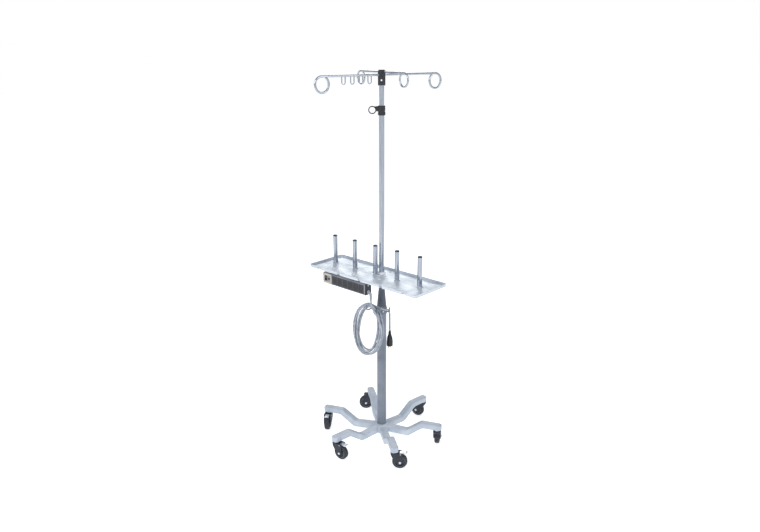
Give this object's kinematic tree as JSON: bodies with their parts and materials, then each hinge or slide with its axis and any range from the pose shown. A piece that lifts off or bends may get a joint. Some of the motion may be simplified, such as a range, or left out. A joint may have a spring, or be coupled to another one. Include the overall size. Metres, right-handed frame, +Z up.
{
  "type": "rolling infusion pump stand",
  "caption": "Rolling infusion stand: six-leg caster base, round column, lipped tray of upright pump posts, outlet strip with hanging cord coil, telescoping hook pole.",
  "frame": {"origin": "on the floor, on the axis of the column and pole", "axes": "+Z up along the pole; X along the tray's length; the tray's front edge, with the outlet strip behind it, faces -Y"},
  "size_m": [0.7, 0.6888, 1.868],
  "materials": {
    "cast_base": "silver-grey powder coat on a cast base",
    "column_steel": "mid-grey satin coat on a round steel column",
    "stainless": "drawn stainless tube and rod",
    "tray_sheet": "light brushed stainless sheet",
    "black_fitting": "black moulded fitting",
    "caster_black": "black caster fork",
    "wheel_centre": "dark grey moulded wheel centre",
    "tyre_rubber": "dark grey non-marking tyre",
    "zinc": "bright zinc-plated steel",
    "strip_case": "grey enamelled housing",
    "outlet_face": "dark outlet blocks",
    "switch_rocker": "glossy black switch",
    "white_ring": "white moulded ring",
    "cord_jacket": "light grey cord jacket",
    "plug_black": "black moulded plug",
    "blade_metal": "nickel-plated blades",
    "strap_web": "grey hook-and-loop strap"
  },
  "bodies": {
    "stand": {"base_casting": "cast_base", "caster_stems": "zinc", "base_bolt": "zinc", "column": "column_steel", "column_neck": "column_steel", "outer_pole": "stainless", "collar_lock": "black_fitting", "tray": "tray_sheet", "pump_post_1": "stainless", "pump_post_2": "stainless", "pump_post_3": "stainless", "pump_post_4": "stainless", "pump_post_5": "stainless", "post_caps": "black_fitting", "post_nuts": "zinc", "pole_ring": "white_ring", "tray_bolts": "zinc", "strip_housing": "strip_case", "outlets": "outlet_face", "strip_brackets": "zinc", "strain_relief": "cord_jacket", "cord_lead": "cord_jacket", "cord_coil": "cord_jacket", "cord_tail": "cord_jacket", "coil_tie": "strap_web", "plug_body": "plug_black", "plug_blades": "blade_metal", "cord_hooks": "zinc"},
    "caster_1": {"caster_fork_1": "caster_black"},
    "wheel_1": {"wheel_core_1": "wheel_centre", "tyre_1": "tyre_rubber"},
    "caster_2": {"caster_fork_2": "caster_black"},
    "wheel_2": {"wheel_core_2": "wheel_centre", "tyre_2": "tyre_rubber"},
    "caster_3": {"caster_fork_3": "caster_black"},
    "wheel_3": {"wheel_core_3": "wheel_centre", "tyre_3": "tyre_rubber"},
    "caster_4": {"caster_fork_4": "caster_black"},
    "wheel_4": {"wheel_core_4": "wheel_centre", "tyre_4": "tyre_rubber"},
    "pedal_4": {"brake_pedal_4": "zinc"},
    "caster_5": {"caster_fork_5": "caster_black"},
    "wheel_5": {"wheel_core_5": "wheel_centre", "tyre_5": "tyre_rubber"},
    "pedal_5": {"brake_pedal_5": "zinc"},
    "caster_6": {"caster_fork_6": "caster_black"},
    "wheel_6": {"wheel_core_6": "wheel_centre", "tyre_6": "tyre_rubber"},
    "pedal_6": {"brake_pedal_6": "zinc"},
    "slider": {"inner_pole": "stainless", "pole_bush": "white_ring"},
    "head": {"hook_head": "black_fitting", "head_screw": "white_ring", "main_rod": "stainless", "cross_rod": "stainless", "ring_hooks": "stainless"},
    "lever": {"collar_lever": "black_fitting"},
    "rocker": {"rocker_switch": "switch_rocker"},
    "button": {"breaker_button": "switch_rocker"}
  },
  "joints": [
    {"name": "caster_1_swivel", "type": "hinge", "parent": "stand", "child": "caster_1", "pos_m": [0.27406, 0.12202, 0.09], "axis": [0, 0, 1], "continuous": true},
    {"name": "wheel_1_spin", "type": "hinge", "parent": "caster_1", "child": "wheel_1", "pos_m": [0.25923, 0.14577, 0.0375], "axis": [-0.848, -0.5299, 0], "continuous": true},
    {"name": "caster_2_swivel", "type": "hinge", "parent": "stand", "child": "caster_2", "pos_m": [0.03136, 0.29836, 0.09], "axis": [0, 0, 1], "continuous": true},
    {"name": "wheel_2_spin", "type": "hinge", "parent": "caster_2", "child": "wheel_2", "pos_m": [0.00357, 0.29494, 0.0375], "axis": [0.1219, -0.9925, 0], "continuous": true},
    {"name": "caster_3_swivel", "type": "hinge", "parent": "stand", "child": "caster_3", "pos_m": [-0.24271, 0.17634, 0.09], "axis": [0, 0, 1], "continuous": true},
    {"name": "wheel_3_spin", "type": "hinge", "parent": "caster_3", "child": "wheel_3", "pos_m": [-0.26351, 0.1576, 0.0375], "axis": [0.6691, -0.7431, 0], "continuous": true},
    {"name": "caster_4_swivel", "type": "hinge", "parent": "stand", "child": "caster_4", "pos_m": [-0.27406, -0.12202, 0.09], "axis": [0, 0, 1], "continuous": true},
    {"name": "wheel_4_spin", "type": "hinge", "parent": "caster_4", "child": "wheel_4", "pos_m": [-0.25923, -0.14577, 0.0375], "axis": [0.848, 0.5299, 0], "continuous": true},
    {"name": "brake_4_press", "type": "hinge", "parent": "caster_4", "child": "pedal_4", "pos_m": [-0.25817, -0.14746, 0.0824], "axis": [0.848, 0.5299, 0], "range_deg": [0, 12]},
    {"name": "caster_5_swivel", "type": "hinge", "parent": "stand", "child": "caster_5", "pos_m": [-0.03136, -0.29836, 0.09], "axis": [0, 0, 1], "continuous": true},
    {"name": "wheel_5_spin", "type": "hinge", "parent": "caster_5", "child": "wheel_5", "pos_m": [-0.00357, -0.29494, 0.0375], "axis": [-0.1219, 0.9925, 0], "continuous": true},
    {"name": "brake_5_press", "type": "hinge", "parent": "caster_5", "child": "pedal_5", "pos_m": [-0.00158, -0.2947, 0.0824], "axis": [-0.1219, 0.9925, 0], "range_deg": [0, 12]},
    {"name": "caster_6_swivel", "type": "hinge", "parent": "stand", "child": "caster_6", "pos_m": [0.24271, -0.17634, 0.09], "axis": [0, 0, 1], "continuous": true},
    {"name": "wheel_6_spin", "type": "hinge", "parent": "caster_6", "child": "wheel_6", "pos_m": [0.26351, -0.1576, 0.0375], "axis": [-0.6691, 0.7431, 0], "continuous": true},
    {"name": "brake_6_press", "type": "hinge", "parent": "caster_6", "child": "pedal_6", "pos_m": [0.265, -0.15626, 0.0824], "axis": [-0.6691, 0.7431, 0], "range_deg": [0, 12]},
    {"name": "pole_height", "type": "slide", "parent": "stand", "child": "slider", "axis": [0, 0, 1], "range_m": [-0.07, 0.55]},
    {"name": "head_turn", "type": "hinge", "parent": "slider", "child": "head", "pos_m": [0, 0, 1.82], "axis": [0, 0, 1], "continuous": true},
    {"name": "lever_pull", "type": "hinge", "parent": "stand", "child": "lever", "pos_m": [-0.01635, -0.01472, 1.7], "axis": [0.6691, -0.7431, 0], "range_deg": [0, 18], "stiffness_Nm_per_rad": 0.3, "springref_deg": -11.46},
    {"name": "switch_rock", "type": "hinge", "parent": "stand", "child": "rocker", "pos_m": [-0.24, -0.1455, 0.864], "axis": [1, 0, 0], "range_deg": [0, 16]},
    {"name": "reset_press", "type": "slide", "parent": "stand", "child": "button", "axis": [0, 1, 0], "range_m": [0, 0.003], "stiffness_N_per_m": 400, "springref_m": -0.002}
  ]
}
